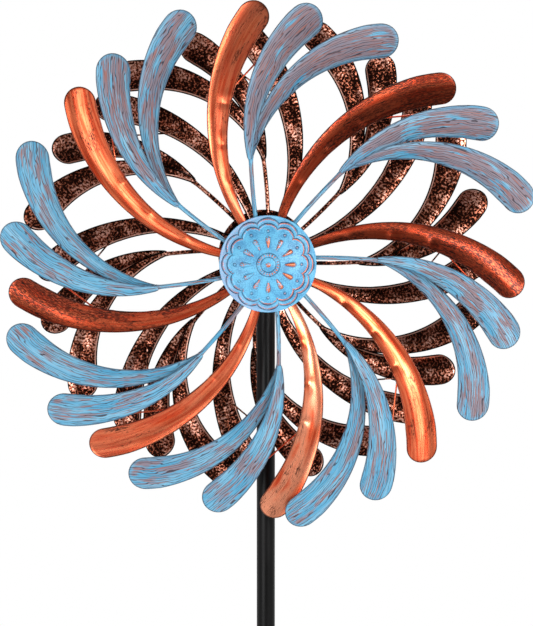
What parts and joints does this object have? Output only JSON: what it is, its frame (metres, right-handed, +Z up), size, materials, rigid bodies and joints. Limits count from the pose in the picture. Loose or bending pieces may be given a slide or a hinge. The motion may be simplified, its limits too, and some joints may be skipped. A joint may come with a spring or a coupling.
{
  "type": "kinetic wind sculpture",
  "caption": "Tall garden wind sculpture: two contra-rotating wheels of curved copper and blue sheet blades, back to back on a black pole with a ground fork.",
  "frame": {"origin": "on the pole's axis at the ground line, the underside of the fork's cross bars", "axes": "+Z up along the pole, -Y towards the front wheel's face, +X to the viewer's right"},
  "size_m": [0.6169, 0.1684, 1.8998],
  "materials": {
    "bright_copper": "brushed metallic copper lacquer over sheet steel, burnished darker along the outer edges",
    "blue_patina": "sky-blue enamel dragged on with a stiff brush over a mauve-brown base coat",
    "antique_copper": "dark antique copper lacquer, sponged with brighter copper flecks",
    "black_powder_coat": "semi-gloss black powder coat on steel tube",
    "black_screws": "blackened steel",
    "zinc_steel": "zinc-plated steel"
  },
  "bodies": {
    "stand": {"pole_top_section": "black_powder_coat", "pole_middle_section": "black_powder_coat", "pole_bottom_section": "black_powder_coat", "pole_joint_screws": "black_screws", "fork_socket": "black_powder_coat", "fork_cross_bars": "black_powder_coat", "ground_spikes": "black_powder_coat", "head_block": "black_powder_coat", "head_screw": "black_screws", "axle": "zinc_steel", "spacer_sleeves": "zinc_steel", "axle_washers": "zinc_steel", "axle_lock_nuts": "zinc_steel"},
    "front_wheel": {"front_hub": "blue_patina", "front_bearings": "zinc_steel", "front_dome_cap": "blue_patina", "front_brace_wires": "bright_copper", "front_copper_blade_1": "bright_copper", "front_copper_blade_2": "bright_copper", "front_copper_blade_3": "bright_copper", "front_copper_blade_4": "bright_copper", "front_copper_blade_5": "bright_copper", "front_copper_blade_6": "bright_copper", "front_copper_blade_7": "bright_copper", "front_copper_blade_8": "bright_copper", "front_leaf_pair_1": "blue_patina", "front_leaf_pair_2": "blue_patina", "front_leaf_pair_3": "blue_patina", "front_leaf_pair_4": "blue_patina", "front_leaf_pair_5": "blue_patina", "front_leaf_pair_6": "blue_patina", "front_leaf_pair_7": "blue_patina", "front_leaf_pair_8": "blue_patina"},
    "rear_wheel": {"rear_hub": "antique_copper", "rear_bearings": "zinc_steel", "rear_dome_cap": "antique_copper", "rear_brace_wires": "antique_copper", "rear_blade_1": "antique_copper", "rear_blade_2": "antique_copper", "rear_blade_3": "antique_copper", "rear_blade_4": "antique_copper", "rear_blade_5": "antique_copper", "rear_blade_6": "antique_copper", "rear_blade_7": "antique_copper", "rear_blade_8": "antique_copper", "rear_leaf_pair_1": "antique_copper", "rear_leaf_pair_2": "antique_copper", "rear_leaf_pair_3": "antique_copper", "rear_leaf_pair_4": "antique_copper", "rear_leaf_pair_5": "antique_copper", "rear_leaf_pair_6": "antique_copper", "rear_leaf_pair_7": "antique_copper", "rear_leaf_pair_8": "antique_copper"}
  },
  "joints": [
    {"name": "front_wheel_spin", "type": "hinge", "parent": "stand", "child": "front_wheel", "pos_m": [0, -0.062, 1.42], "axis": [0, -1, 0], "continuous": true},
    {"name": "rear_wheel_spin", "type": "hinge", "parent": "stand", "child": "rear_wheel", "pos_m": [0, 0.062, 1.42], "axis": [0, 1, 0], "continuous": true}
  ]
}
